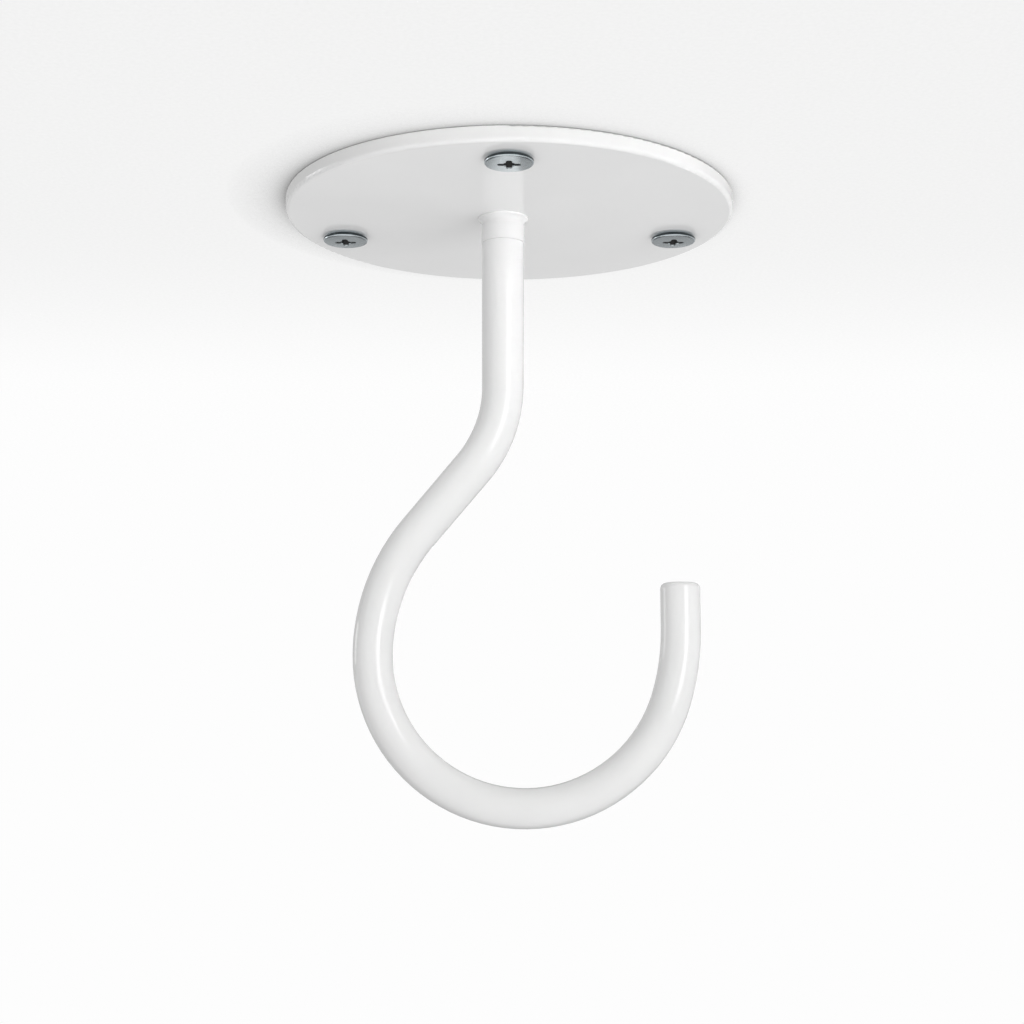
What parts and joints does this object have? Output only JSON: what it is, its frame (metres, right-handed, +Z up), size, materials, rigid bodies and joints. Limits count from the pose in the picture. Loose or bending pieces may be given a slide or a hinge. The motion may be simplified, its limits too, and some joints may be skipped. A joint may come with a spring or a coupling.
{
  "type": "ceiling hook",
  "caption": "Ceiling hook: a round white-coated plate screwed flat to a ceiling, with a bent round bar below it ending in an open bowl-shaped hook with a short upright tip.",
  "frame": {"origin": "middle of the plate's back face, on the ceiling", "axes": "+Z up into the ceiling, the hook hangs towards -Z in the XZ plane with its open mouth facing +X, and the single front screw is towards -Y"},
  "size_m": [0.0908, 0.0908, 0.158],
  "materials": {
    "white_coat": "gloss white powder coat on steel",
    "zinc_steel": "bright zinc plating on steel"
  },
  "bodies": {
    "root": {"ceiling_plate": "white_coat", "hook_rod": "white_coat", "collar": "white_coat", "mounting_screws": "zinc_steel"}
  },
  "joints": []
}
